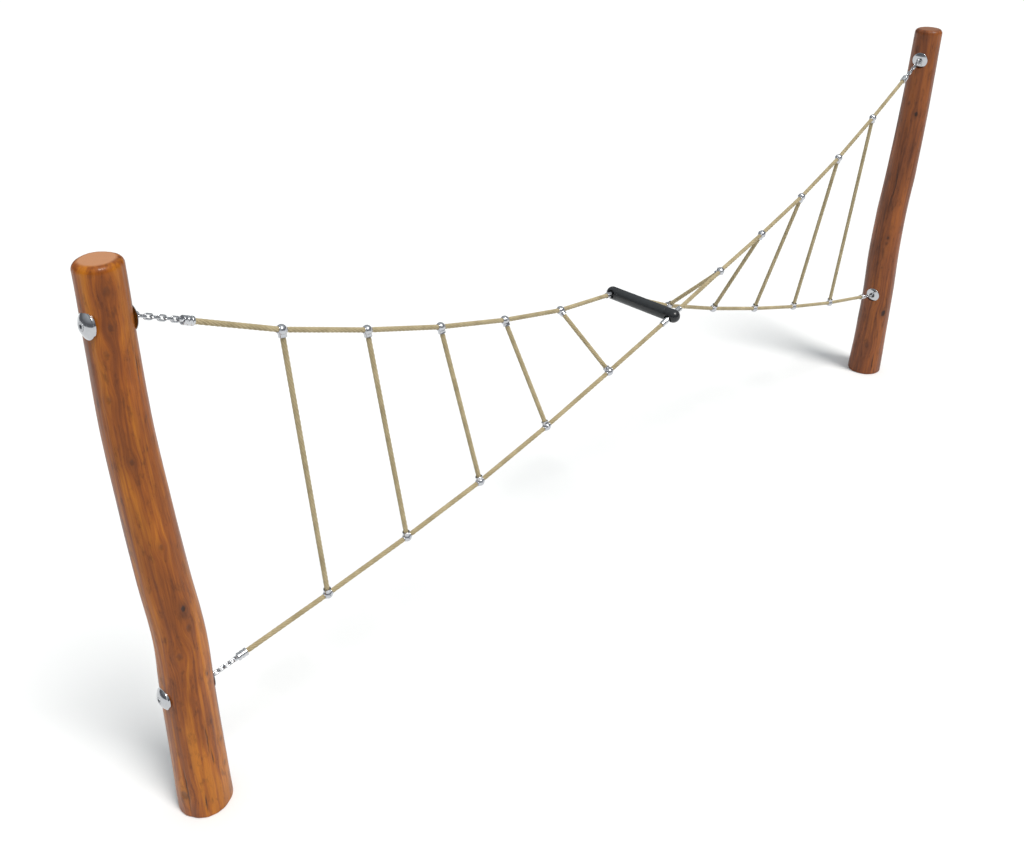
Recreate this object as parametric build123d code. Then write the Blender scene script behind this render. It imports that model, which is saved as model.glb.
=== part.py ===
from build123d import *
from math import cos, radians, sin, sqrt
import os

# Twisted rope climbing ladder between two robinia posts.
# Millimetres. Origin on the ground midway between the posts, +X to the right post, +Z up.
# The net is unchanged by half a turn about Z, so its right half is the left half turned round.

# ---- Posts: (centre x, centre y, radius) up each crooked trunk, at even heights ----
LEFT_POST_HEIGHT = 2086
LEFT_TRUNK = [
    (-2361, 12, 96),
    (-2353, 9, 92),
    (-2344, 5, 89),
    (-2332, 0, 85),
    (-2340, 3, 82),
    (-2344, 5, 78),
    (-2347, 6, 73),
    (-2338, 3, 69),
    (-2327, -1, 67),
]
RIGHT_POST_HEIGHT = 2054
RIGHT_TRUNK = [
    (2357, 12, 98),
    (2347, 8, 91),
    (2338, 8, 87),
    (2332, 18, 85),
    (2332, 18, 82),
    (2335, 11, 80),
    (2337, 9, 76),
    (2336, 10, 72),
    (2336, 14, 70),
]
POST_TOP_ROUNDING = 22
SECTIONS_PER_SPAN = 3
SURFACE_SEARCH_STEP = 0.25

# ---- Net: rope knots of the left half, from the post to the step ----
TOP_ANCHOR = Vector(-2250, 0, 1896)
BOTTOM_ANCHOR = Vector(-2246, 0, 539)
UPPER_KNOTS = [
    Vector(-1795, 25, 1688),
    Vector(-1449, 53, 1558),
    Vector(-1103, 74, 1444),
    Vector(-757, 91, 1350),
    Vector(-411, 112, 1272),
]
LOWER_KNOTS = [
    Vector(-1774, -26, 631),
    Vector(-1418, -53, 714),
    Vector(-1062, -80, 810),
    Vector(-706, -99, 920),
    Vector(-349, -118, 1045),
]
STEP_HEIGHT = 1204
ROPE_SPREAD = 163.5
FAR_CROSSING = Vector(0, ROPE_SPREAD, STEP_HEIGHT)
NEAR_CROSSING = Vector(0, -ROPE_SPREAD, STEP_HEIGHT)

ROPE_RADIUS = 9.5
SNUG = 0.1

# ---- Anchor bolts ----
TOP_BOLT_FALL = 9
TOP_BOLT_TURN = 6
BOTTOM_BOLT_FALL = 6
BOTTOM_BOLT_TURN = 0
BOLT_RADIUS = 8
EYE_RADIUS = 9.5
WIRE_RADIUS = 3
EYE_BACKSET = EYE_RADIUS - WIRE_RADIUS
EYE_NECK_RADIUS = 4.5
EYE_NECK_LENGTH = 3.9
FLANGE_RADIUS = 14
FLANGE_THICKNESS = 4
COUNTERBORE_RADIUS = 15
POST_BORE_RADIUS = 10.8
DOME_RADIUS = 40
OUTER_DOME_HEIGHT = 17
OUTER_DOME_RIM = 5
INNER_DOME_HEIGHT = 9
INNER_DOME_RIM = 2
INNER_DOME_SINK = 5
OUTSIDE_REACH = 400
NET_SIDE_REACH = 60
NUT_HEAD_RADIUS = 13
NUT_HEAD_THICKNESS = 7
NUT_BARREL_RADIUS = 10.5
NUT_BARREL_LENGTH = 42
NUT_SOCKET_FLATS = 12
NUT_SOCKET_DEPTH = 6
NUT_SOCKET_FLOOR = 3
NUT_SETBACK = 1

# ---- Chains and rope ends ----
LINK_PITCH = 21.5
LINK_PLAY = 0.3
LINK_INNER_WIDTH = 9
TOP_LINKS = 6
BOTTOM_LINKS = 4
LUG_TIP = 6
LUG_HOLE_RADIUS = 5
LUG_HOLE_BACKSET = 1.8
LUG_WIDTH = 20
LUG_THICKNESS = 7
LUG_LENGTH = 11
LUG_ROOT = 4
LUG_CORNER_RADIUS = 7
END_FERRULE_RADIUS = 15
END_FERRULE_LENGTH = 38
END_FERRULE_FLOOR = 5

# ---- T-clamps where a rung meets a rope ----
BALL_RADIUS = 18
COLLAR_RADIUS = 14
COLLAR_REACH = 24
COLLAR_BORE_RADIUS = 12.2
KNOT_BEND_LENGTH = 15
LEAST_BEND = 1e-3
RUNG_TOP_GAP = 15
RUNG_BOTTOM_GAP = 18

# ---- Step bar ----
STEP_RADIUS = 29
STEP_HALF_LENGTH = 200
STEP_WALL = 4
STEP_TUBE_HALF = 132
CAP_SPIGOT = 22
CAP_BORE_RADIUS = 18.5
STEP_FERRULE_RADIUS = 13
STEP_FERRULE_START = 14
STEP_FERRULE_END = 65
PIN_RADIUS = 4
PIN_HALF_LENGTH = 26
PIN_HOLE_HALF_LENGTH = 27
PIN_CLEARANCE = 0.7

UP = Vector(0, 0, 1)


def rod(radius, start, end):
    """A straight cylinder from one point to another."""
    run = end - start
    plane = Plane(origin=start, z_dir=run)
    return extrude(plane * Circle(radius), run.length)


def turned(shape):
    """The same shape on the other half of the net."""
    return shape.rotate(Axis.Z, 180)


def between(values, part):
    """A smooth curve through four neighbouring values, part of the way from second to third."""
    before, low, high, after = values
    rise = (high - before) / 2
    fall = (after - low) / 2
    bend = 3 * (high - low) - 2 * rise - fall
    twist = 2 * (low - high) + rise + fall
    return low + rise * part + bend * part**2 + twist * part**3


def stations(height, trunk_shape):
    """A trunk's sections as (height, centre x, centre y, radius), closely spaced on a smooth curve."""
    padded = [trunk_shape[0], *trunk_shape, trunk_shape[-1]]
    spans = len(trunk_shape) - 1
    sections = []
    for i in range(spans * SECTIONS_PER_SPAN + 1):
        span = min(i // SECTIONS_PER_SPAN, spans - 1)
        part = i / SECTIONS_PER_SPAN - span
        section = [between(values, part) for values in zip(*padded[span : span + 4])]
        sections.append((height * i / (spans * SECTIONS_PER_SPAN), *section))
    return sections


def trunk(sections):
    """A crooked round log: one smooth skin through its sections, with a worn top edge.

    The skin's seam is turned to the back, clear of the bolt bores.
    """
    log = loft([Pos(x, y, z) * Rot(0, 0, 90) * Circle(radius) for z, x, y, radius in sections])
    top_edge = log.edges().sort_by(Axis.Z)[-1]
    return fillet(top_edge, POST_TOP_ROUNDING)


def trunk_section(sections, height):
    """Centre and radius of a log at a height."""
    for low, high in zip(sections, sections[1:]):
        if height <= high[0]:
            part = (height - low[0]) / (high[0] - low[0])
            return [a + part * (b - a) for a, b in zip(low[1:], high[1:])]
    return sections[-1][1:]


def wood_surface(sections, point, direction):
    """Where a line from outside the log, going in, first meets the wood."""
    while True:
        x, y, radius = trunk_section(sections, point.Z)
        if sqrt((point.X - x) ** 2 + (point.Y - y) ** 2) <= radius:
            return point
        point = point + direction * SURFACE_SEARCH_STEP


def bolt_direction(fall, turn):
    """Unit vector along a left-hand bolt, from its outer end towards the net."""
    level = cos(radians(fall))
    return Vector(level * cos(radians(turn)), level * sin(radians(turn)), -sin(radians(fall)))


def domed_washer(rim_centre, outward, rim, height, hole_radius):
    """A thick washer, domed outwards above a plain rim, with a hole."""
    sphere_radius = (DOME_RADIUS**2 + height**2) / (2 * height)
    disc = rod(DOME_RADIUS, rim_centre - outward * rim, rim_centre + outward * 2 * height)
    ball_centre = rim_centre + outward * (height - sphere_radius)
    dome = disc & (Pos(*ball_centre) * Sphere(sphere_radius))
    return dome - rod(hole_radius, rim_centre - outward * 2 * rim, rim_centre + outward * 2 * height)


def eye_bolt(eye_centre, direction, pull, length):
    """Eye, flange and shank in one forging. The eye stands upright, in line with the chain's pull."""
    across = pull.cross(UP).normalized()
    eye = Plane(origin=eye_centre, z_dir=across) * Torus(EYE_RADIUS, WIRE_RADIUS)
    flange_top = eye_centre - direction * (EYE_RADIUS + WIRE_RADIUS)
    flange = rod(FLANGE_RADIUS, flange_top - direction * FLANGE_THICKNESS, flange_top)
    neck = rod(EYE_NECK_RADIUS, flange_top, flange_top + direction * EYE_NECK_LENGTH)
    shank = rod(BOLT_RADIUS - SNUG, flange_top - direction * length, flange_top)
    return eye + neck + flange + shank


def barrel_nut(apex, outward):
    """A long nut with a round head and a hexagon socket, sunk in the outer dome."""
    head = rod(NUT_HEAD_RADIUS, apex - outward * NUT_HEAD_THICKNESS, apex)
    barrel_end = apex - outward * (NUT_HEAD_THICKNESS + NUT_BARREL_LENGTH)
    barrel = rod(NUT_BARREL_RADIUS, barrel_end, apex - outward * NUT_HEAD_THICKNESS)
    socket_plane = Plane(origin=apex - outward * NUT_SOCKET_DEPTH, z_dir=outward)
    hexagon = RegularPolygon(NUT_SOCKET_FLATS / 2, 6, major_radius=False)
    socket = extrude(socket_plane * hexagon, NUT_SOCKET_DEPTH)
    thread = rod(BOLT_RADIUS, barrel_end, apex - outward * (NUT_SOCKET_DEPTH + NUT_SOCKET_FLOOR))
    return head + barrel - socket - thread


def chain_link(contact, along, upright):
    """One short link. It hangs on the contact point and ends a pitch further on."""
    bend = LINK_INNER_WIDTH / 2 + WIRE_RADIUS
    straight = LINK_PITCH + LINK_PLAY + 2 * WIRE_RADIUS - 2 * bend
    sideways = along.cross(UP).normalized()
    normal = sideways if upright else sideways.cross(along)
    centre = contact + along * (LINK_PITCH / 2)
    plane = Plane(origin=centre, x_dir=along, z_dir=normal)
    outline = plane * SlotCenterToCenter(straight, 2 * bend)
    wire = outline.wire()
    start = centre + plane.y_dir * bend
    section = Plane(origin=start, z_dir=along) * Circle(WIRE_RADIUS)
    return sweep(section, path=wire)


def chain(anchor, along, first, last):
    """Links number first to last - 1. Even links lie flat and odd ones stand upright."""
    links = range(first, last)
    return [chain_link(anchor + along * LINK_PITCH * i, along, i % 2 == 1) for i in links]


def end_ferrule(anchor, along, links):
    """A pressed rope end with a drilled lug for the last link."""
    contact = anchor + along * LINK_PITCH * links
    face = contact + along * LUG_LENGTH
    body = rod(END_FERRULE_RADIUS, face, face + along * END_FERRULE_LENGTH)
    sideways = along.cross(UP).normalized()
    upward = sideways.cross(along)
    lug_length = LUG_LENGTH + LUG_TIP + LUG_ROOT
    lug_centre = contact - along * LUG_TIP + along * (lug_length / 2)
    lug_plane = Plane(origin=lug_centre, x_dir=along, z_dir=upward)
    lug = lug_plane * Box(lug_length, LUG_WIDTH, LUG_THICKNESS)
    corner_edges = lug.edges().filter_by(Axis(contact, upward))
    tip_edges = corner_edges.sort_by(Axis(contact, along))[:2]
    lug = fillet(tip_edges, LUG_CORNER_RADIUS)
    hole_centre = contact + along * (LUG_HOLE_RADIUS - LUG_HOLE_BACKSET)
    reach = upward * LUG_THICKNESS
    hole = rod(LUG_HOLE_RADIUS, hole_centre - reach, hole_centre + reach)
    bore_floor = face + along * END_FERRULE_FLOOR
    bore = rod(ROPE_RADIUS + SNUG, bore_floor, face + along * 2 * END_FERRULE_LENGTH)
    return body + lug - hole - bore, face + along * (END_FERRULE_FLOOR + SNUG)


def rope_line(points):
    """Straight runs joined by short arcs inside the clamps."""
    radii = []
    for before, at, after in zip(points, points[1:], points[2:]):
        turn = radians((at - before).get_angle(after - at))
        radii.append(KNOT_BEND_LENGTH / max(sin(turn / 2) / cos(turn / 2), LEAST_BEND))
    return FilletPolyline(*points, radius=radii)


def rope(points, radius):
    line = rope_line(points)
    start = points[0]
    section = Plane(origin=start, z_dir=points[1] - start) * Circle(radius)
    return sweep(section, path=line)


def t_clamp(knot, rung_direction, rope_direction, rope_cut):
    """The two shells of a clamp: a ball on the rope, and a collar for the rung."""
    blank = Pos(*knot) * Sphere(BALL_RADIUS)
    blank += rod(COLLAR_RADIUS, knot, knot + rung_direction * COLLAR_REACH)
    blank -= rod(COLLAR_BORE_RADIUS, knot, knot + rung_direction * 2 * COLLAR_REACH)
    blank -= rope_cut
    split_plane = Plane(origin=knot, z_dir=rope_direction.cross(rung_direction))
    front = split(blank, bisect_by=split_plane, keep=Keep.TOP)
    back = split(blank, bisect_by=split_plane, keep=Keep.BOTTOM)
    return front, back


def step_ferrule(crossing, outward):
    """The sleeve that a rope wears where it goes into the step."""
    start = crossing + outward * STEP_FERRULE_START
    sleeve = rod(STEP_FERRULE_RADIUS, start, crossing + outward * STEP_FERRULE_END)
    return sleeve - rod(ROPE_RADIUS + SNUG, crossing, crossing + outward * 2 * STEP_FERRULE_END)


def step_cap(crossing, side, left_rope, right_rope):
    """A rounded end of the step: solid, with a passage for each rope and a spigot for the tube."""
    along = Vector(0, side, 0)
    middle = Vector(0, 0, STEP_HEIGHT)
    shoulder = middle + along * STEP_TUBE_HALF
    round_centre = middle + along * (STEP_HALF_LENGTH - STEP_RADIUS)
    cap = rod(STEP_RADIUS, shoulder, round_centre) + Pos(*round_centre) * Sphere(STEP_RADIUS)
    cap += rod(STEP_RADIUS - STEP_WALL - SNUG, shoulder - along * CAP_SPIGOT, shoulder)
    for outward in (left_rope, right_rope):
        cap -= rod(CAP_BORE_RADIUS, crossing, crossing + outward * 3 * STEP_RADIUS)
    cap -= Pos(*crossing) * Sphere(CAP_BORE_RADIUS)
    return cap


nodes = {}

# ---- Posts with their bolt bores, and the hardware at each corner ----
trunks = {
    "left": stations(LEFT_POST_HEIGHT, LEFT_TRUNK),
    "right": stations(RIGHT_POST_HEIGHT, RIGHT_TRUNK),
}
logs = {side: trunk(sections) for side, sections in trunks.items()}
bores = {"left": [], "right": []}
nuts = []
levels = {
    "top": (TOP_ANCHOR, UPPER_KNOTS[0], TOP_BOLT_FALL, TOP_BOLT_TURN),
    "bottom": (BOTTOM_ANCHOR, LOWER_KNOTS[0], BOTTOM_BOLT_FALL, BOTTOM_BOLT_TURN),
}
for level, (anchor, first_knot, fall, turn) in levels.items():
    along = (first_knot - anchor).normalized()
    eye_centre = anchor - along * EYE_BACKSET
    for side in ("left", "right"):
        direction = bolt_direction(fall, turn)
        pull = along
        eye_point = eye_centre
        if side == "right":
            direction = Vector(-direction.X, -direction.Y, direction.Z)
            pull = Vector(-along.X, -along.Y, along.Z)
            eye_point = Vector(-eye_centre.X, -eye_centre.Y, eye_centre.Z)
        outside = eye_point - direction * OUTSIDE_REACH
        net_side = eye_point + direction * NET_SIDE_REACH
        inner_skin = wood_surface(trunks[side], net_side, direction * -1)
        outer_skin = wood_surface(trunks[side], outside, direction)
        corner = side + "_" + level
        log = logs[side]
        # The inner dome is sunk in a flat pocket. The outer one is hollowed to sit on the round log.
        inner_rim = inner_skin - direction * INNER_DOME_SINK
        pocket_floor = inner_rim - direction * INNER_DOME_RIM
        inner = domed_washer(inner_rim, direction, INNER_DOME_RIM, INNER_DOME_HEIGHT, COUNTERBORE_RADIUS)
        nodes[corner + "_inner_dome"] = inner
        outward = direction * -1
        barrel_hole = NUT_BARREL_RADIUS + SNUG
        outer = domed_washer(outer_skin, outward, OUTER_DOME_RIM, OUTER_DOME_HEIGHT, barrel_hole) - log
        apex = outer_skin + outward * (OUTER_DOME_HEIGHT - NUT_SETBACK)
        head_seat = apex - outward * NUT_HEAD_THICKNESS
        outer -= rod(NUT_HEAD_RADIUS + SNUG, head_seat, apex + outward * OUTER_DOME_HEIGHT)
        nodes[corner + "_outer_dome"] = outer
        nuts.append(barrel_nut(apex, outward))
        flange_face = eye_point - direction * (EYE_RADIUS + WIRE_RADIUS + FLANGE_THICKNESS)
        shank_length = (flange_face - apex).length - NUT_HEAD_THICKNESS
        nodes[corner + "_eye_bolt"] = eye_bolt(eye_point, direction, pull, shank_length)
        bores[side].append(rod(POST_BORE_RADIUS, outside, eye_point))
        bores[side].append(rod(COUNTERBORE_RADIUS, flange_face, net_side))
        bores[side].append(rod(DOME_RADIUS + SNUG, pocket_floor, net_side))
nodes["anchor_nuts"] = Compound(nuts)
for side, log in logs.items():
    nodes[side + "_post"] = log - bores[side]

# ---- Ropes of the left half, with their chains, ends and clamps, and the same turned round ----
halves = {
    "upper": (TOP_ANCHOR, UPPER_KNOTS, FAR_CROSSING, TOP_LINKS, LOWER_KNOTS),
    "lower": (BOTTOM_ANCHOR, LOWER_KNOTS, NEAR_CROSSING, BOTTOM_LINKS, UPPER_KNOTS),
}
rope_ends = {}
for name, (anchor, knots, crossing, links, partners) in halves.items():
    along = (knots[0] - anchor).normalized()
    into_step = (crossing - knots[-1]).normalized()
    rope_ends[name] = into_step * -1
    ferrule, rope_start = end_ferrule(anchor, along, links)
    rope_points = [rope_start, *knots, crossing - into_step * STEP_FERRULE_START]
    strand = rope(rope_points, ROPE_RADIUS)
    rope_cut = rope(rope_points, ROPE_RADIUS + SNUG)
    fronts = []
    backs = []
    neighbours = zip(rope_points, rope_points[2:])
    for knot, partner, (before, after) in zip(knots, partners, neighbours):
        towards = (partner - knot).normalized()
        front, back = t_clamp(knot, towards, after - before, rope_cut)
        fronts.append(front)
        backs.append(back)
    pieces = {
        "swing_link": chain(anchor, along, 0, 1)[0],
        "chain": Compound(chain(anchor, along, 1, links)),
        "end_ferrule": ferrule,
        "rope": strand,
        "clamp_fronts": Compound(fronts),
        "clamp_backs": Compound(backs),
        "step_ferrule": step_ferrule(crossing, into_step * -1),
    }
    for piece, shape in pieces.items():
        nodes[name + "_left_" + piece] = shape
        nodes[name + "_right_" + piece] = turned(shape)

# ---- Rungs, numbered from each post to the step ----
for number, (top, bottom) in enumerate(zip(UPPER_KNOTS, LOWER_KNOTS), start=1):
    down = (bottom - top).normalized()
    rung = rod(ROPE_RADIUS, top + down * RUNG_TOP_GAP, bottom - down * RUNG_BOTTOM_GAP)
    nodes["left_rung_" + str(number)] = rung
    nodes["right_rung_" + str(number)] = turned(rung)

# ---- Step ----
tube_ends = [Vector(0, side * STEP_TUBE_HALF, STEP_HEIGHT) for side in (-1, 1)]
nodes["step_tube"] = rod(STEP_RADIUS, *tube_ends) - rod(STEP_RADIUS - STEP_WALL, *tube_ends)
lower_turned = Vector(-rope_ends["lower"].X, -rope_ends["lower"].Y, rope_ends["lower"].Z)
far_cap = step_cap(FAR_CROSSING, 1, rope_ends["upper"], lower_turned)
nodes["step_near_cap"] = turned(far_cap)
hole_reach = UP * PIN_HOLE_HALF_LENGTH
pin_hole = rod(PIN_RADIUS + PIN_CLEARANCE, FAR_CROSSING - hole_reach, FAR_CROSSING + hole_reach)
nodes["step_far_cap"] = far_cap - pin_hole
pin_reach = UP * PIN_HALF_LENGTH
nodes["step_pivot_pin"] = rod(PIN_RADIUS, FAR_CROSSING - pin_reach, FAR_CROSSING + pin_reach)

os.makedirs("parts", exist_ok=True)
for name, shape in nodes.items():
    export_step(shape, "parts/" + name + ".step")
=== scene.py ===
from math import cos, exp, hypot, pi, radians, sin, sqrt

import bpy
from mathutils import Matrix, Vector, noise
from mathutils.bvhtree import BVHTree
from mathutils.kdtree import KDTree


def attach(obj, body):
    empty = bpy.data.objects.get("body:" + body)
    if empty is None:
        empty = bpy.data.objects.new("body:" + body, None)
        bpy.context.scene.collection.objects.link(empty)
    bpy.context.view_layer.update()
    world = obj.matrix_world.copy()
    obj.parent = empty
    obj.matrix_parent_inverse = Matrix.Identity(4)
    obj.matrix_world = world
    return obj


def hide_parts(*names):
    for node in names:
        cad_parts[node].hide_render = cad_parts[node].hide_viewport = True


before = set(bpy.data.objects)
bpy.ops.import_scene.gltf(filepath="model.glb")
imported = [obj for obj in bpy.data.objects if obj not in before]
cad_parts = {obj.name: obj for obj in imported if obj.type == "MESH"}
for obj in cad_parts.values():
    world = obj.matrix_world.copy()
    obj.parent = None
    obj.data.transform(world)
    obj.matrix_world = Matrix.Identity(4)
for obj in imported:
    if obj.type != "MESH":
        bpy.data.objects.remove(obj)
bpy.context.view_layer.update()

# ---- The net's line, in metres: the left half, and its right half is the same turned half round ----
TOP_ANCHOR = Vector((-2.250, 0, 1.896))
BOTTOM_ANCHOR = Vector((-2.246, 0, 0.539))
UPPER_KNOTS = [
    Vector((-1.795, 0.025, 1.688)),
    Vector((-1.449, 0.053, 1.558)),
    Vector((-1.103, 0.074, 1.444)),
    Vector((-0.757, 0.091, 1.350)),
    Vector((-0.411, 0.112, 1.272)),
]
LOWER_KNOTS = [
    Vector((-1.774, -0.026, 0.631)),
    Vector((-1.418, -0.053, 0.714)),
    Vector((-1.062, -0.080, 0.810)),
    Vector((-0.706, -0.099, 0.920)),
    Vector((-0.349, -0.118, 1.045)),
]
FAR_CROSSING = Vector((0, 0.1635, 1.204))
NEAR_CROSSING = Vector((0, -0.1635, 1.204))
UP = Vector((0, 0, 1))
HALF_TURN = Matrix.Rotation(pi, 4, "Z")


# ---- Posts: (centre x, centre y, radius) up each crooked trunk, at even heights ----
LEFT_POST_HEIGHT = 2.086
LEFT_TRUNK = [
    (-2.361, 0.012, 0.096),
    (-2.353, 0.009, 0.092),
    (-2.344, 0.005, 0.089),
    (-2.332, 0.000, 0.085),
    (-2.340, 0.003, 0.082),
    (-2.344, 0.005, 0.078),
    (-2.347, 0.006, 0.073),
    (-2.338, 0.003, 0.069),
    (-2.327, -0.001, 0.067),
]
RIGHT_POST_HEIGHT = 2.054
RIGHT_TRUNK = [
    (2.357, 0.012, 0.098),
    (2.347, 0.008, 0.091),
    (2.338, 0.008, 0.087),
    (2.332, 0.018, 0.085),
    (2.332, 0.018, 0.082),
    (2.335, 0.011, 0.080),
    (2.337, 0.009, 0.076),
    (2.336, 0.010, 0.072),
    (2.336, 0.014, 0.070),
]
GRAIN_SHIFT = 3


# ---- Materials ----
def look(name, **sockets):
    """A node material. The numbers are the shader's own; a name's underscores stand for spaces."""
    made = bpy.data.materials.new(name)
    made.use_nodes = True
    shader = made.node_tree.nodes["Principled BSDF"]
    for socket, value in sockets.items():
        shader.inputs[socket.replace("_", " ")].default_value = value
    return made, made.node_tree, shader


def node(tree, kind, settings=None, **inputs):
    """A node with some of its inputs set or linked. Inputs are named, or numbered as in_0."""
    made = tree.nodes.new("ShaderNode" + kind)
    for name, value in (settings or {}).items():
        setattr(made, name, value)
    for name, value in inputs.items():
        key = int(name[3:]) if name.startswith("in_") else name.replace("_", " ")
        if isinstance(value, bpy.types.NodeSocket):
            tree.links.new(value, made.inputs[key])
        else:
            made.inputs[key].default_value = value
    return made


def ramp(tree, factor, *stops):
    """A colour ramp. Each stop is (place, colour)."""
    made = node(tree, "ValToRGB", Fac=factor)
    elements = made.color_ramp.elements
    while len(elements) < len(stops):
        elements.new(0.5)
    for element, (place, colour) in zip(elements, stops):
        element.position = place
        element.color = colour
    return made.outputs["Color"]


def grey(value):
    """A neutral colour."""
    return (value, value, value, 1)


def mix(tree, factor, low, high, blend="MIX"):
    """Two colours mixed."""
    made = tree.nodes.new("ShaderNodeMix")
    made.data_type = "RGBA"
    made.blend_type = blend
    for name, value in (("Factor", factor), ("A", low), ("B", high)):
        socket = [s for s in made.inputs if s.name == name and s.enabled][0]
        if isinstance(value, bpy.types.NodeSocket):
            tree.links.new(value, socket)
        else:
            socket.default_value = value
    return [s for s in made.outputs if s.enabled][0]


def maths(tree, operation, first, second=None):
    """A sum on one or two values or sockets."""
    made = tree.nodes.new("ShaderNodeMath")
    made.operation = operation
    for socket, value in zip(made.inputs, (first, second)):
        if value is None:
            continue
        if isinstance(value, bpy.types.NodeSocket):
            tree.links.new(value, socket)
        else:
            socket.default_value = value
    return made.outputs[0]


def bump(tree, shader, height, strength, distance):
    """Fine relief from a height socket."""
    made = node(tree, "Bump", Strength=strength, Distance=distance, Height=height)
    tree.links.new(made.outputs["Normal"], shader.inputs["Normal"])


def stretched(tree, source, scale):
    """The same coordinates, scaled differently along each axis."""
    return node(tree, "Mapping", Vector=source, Scale=scale).outputs["Vector"]


def clouds(tree, place, scale, **settings):
    """The grey pattern of a noise texture."""
    return node(tree, "TexNoise", Vector=place, Scale=scale, **settings).outputs["Fac"]


def roughen(tree, shader, pattern, low, high, span=(0.0, 1.0)):
    """Roughness from low to high as the pattern goes over its span."""
    made = node(tree, "MapRange", Value=pattern, From_Min=span[0], From_Max=span[1], To_Min=low, To_Max=high)
    tree.links.new(made.outputs["Result"], shader.inputs["Roughness"])


def wood_look(name, heart, dark, middle, light, pale):
    """Stained, oiled heartwood: streaks along the grain, dark knots, painted shade in the checks, a paler
    end grain.
    """
    made, tree, shader = look(name, Coat_Weight=0.22, Coat_Roughness=0.18, Specular_IOR_Level=0.2)
    grain = node(tree, "Attribute", {"attribute_name": "grain"}).outputs["Vector"]
    marks = node(tree, "Attribute", {"attribute_name": "marks"}).outputs["Vector"]
    split = node(tree, "SeparateXYZ", Vector=marks)
    knot, crack_shade, end = split.outputs["X"], split.outputs["Y"], split.outputs["Z"]
    broad_place = stretched(tree, grain, (17, 17, 1.5))
    broad = clouds(tree, broad_place, 1.0, Detail=5, Roughness=0.62, Distortion=0.5)
    streak_place = stretched(tree, grain, (85, 85, 2.6))
    streaks = clouds(tree, streak_place, 1.0, Detail=4, Roughness=0.6, Distortion=0.25)
    fibres = clouds(tree, stretched(tree, grain, (420, 420, 11)), 1.0, Detail=3, Roughness=0.6)
    patches = clouds(tree, stretched(tree, grain, (7, 7, 3)), 1.0, Detail=2)
    tone = maths(tree, "MULTIPLY", broad, 0.62)
    tone = maths(tree, "ADD", tone, maths(tree, "MULTIPLY", streaks, 0.38))
    colour = ramp(tree, tone, (0.39, dark), (0.49, middle), (0.59, light))
    blotch = ramp(tree, patches, (0.35, grey(0.72)), (0.6, grey(1.0)))
    colour = mix(tree, 0.8, colour, blotch, "MULTIPLY")
    mottle = clouds(tree, stretched(tree, grain, (46, 46, 15)), 1.0, Detail=5, Roughness=0.68)
    flecks = ramp(tree, mottle, (0.34, grey(0.52)), (0.47, grey(1.0)))
    colour = mix(tree, 0.8, colour, flecks, "MULTIPLY")
    fine = ramp(tree, fibres, (0.3, grey(0.82)), (0.62, grey(1.06)))
    colour = mix(tree, 0.75, colour, fine, "MULTIPLY")
    rings_place = node(tree, "SeparateXYZ", Vector=grain)
    sideways = maths(tree, "SUBTRACT", rings_place.outputs["X"], heart)
    across = maths(tree, "MULTIPLY", sideways, sideways)
    upright = rings_place.outputs["Y"]
    across = maths(tree, "ADD", across, maths(tree, "MULTIPLY", upright, upright))
    from_heart = maths(tree, "SQRT", across)
    wobble = clouds(tree, grain, 28.0, Detail=2)
    from_heart = maths(tree, "ADD", from_heart, maths(tree, "MULTIPLY", wobble, 0.006))
    ring = maths(tree, "SINE", maths(tree, "MULTIPLY", from_heart, 1500.0))
    rings = ramp(tree, ring, (0.0, grey(0.86)), (0.9, grey(1.05)))
    end_grain = mix(tree, 0.8, pale, rings, "MULTIPLY")
    colour = mix(tree, end, colour, end_grain)
    colour = mix(tree, knot, colour, (0.035, 0.012, 0.006, 1))
    # Painted shade: the drying checks are darkened almost to black, as shade inside the cracks.
    colour = mix(tree, crack_shade, colour, (0.02, 0.009, 0.005, 1))
    tree.links.new(colour, shader.inputs["Base Color"])
    roughen(tree, shader, streaks, 0.36, 0.56)
    height = maths(tree, "ADD", maths(tree, "MULTIPLY", fibres, 0.35), streaks)
    bump(tree, shader, height, 0.5, 0.0012)
    return made


def steel_look(name, tint, low, high, grain_scale):
    """Polished or drawn stainless steel, with faint wear."""
    made, tree, shader = look(name, Metallic=1.0)
    place = node(tree, "TexCoord").outputs["Object"]
    wear = clouds(tree, place, grain_scale, Detail=5, Roughness=0.65)
    fine = clouds(tree, place, grain_scale * 9, Detail=3)
    colour = ramp(tree, wear, (0.3, tint), (0.7, tuple(min(1, c * 1.12) for c in tint)))
    tree.links.new(colour, shader.inputs["Base Color"])
    roughen(tree, shader, wear, low, high, (0.3, 0.7))
    bump(tree, shader, fine, 0.12, 0.0002)
    return made


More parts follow.
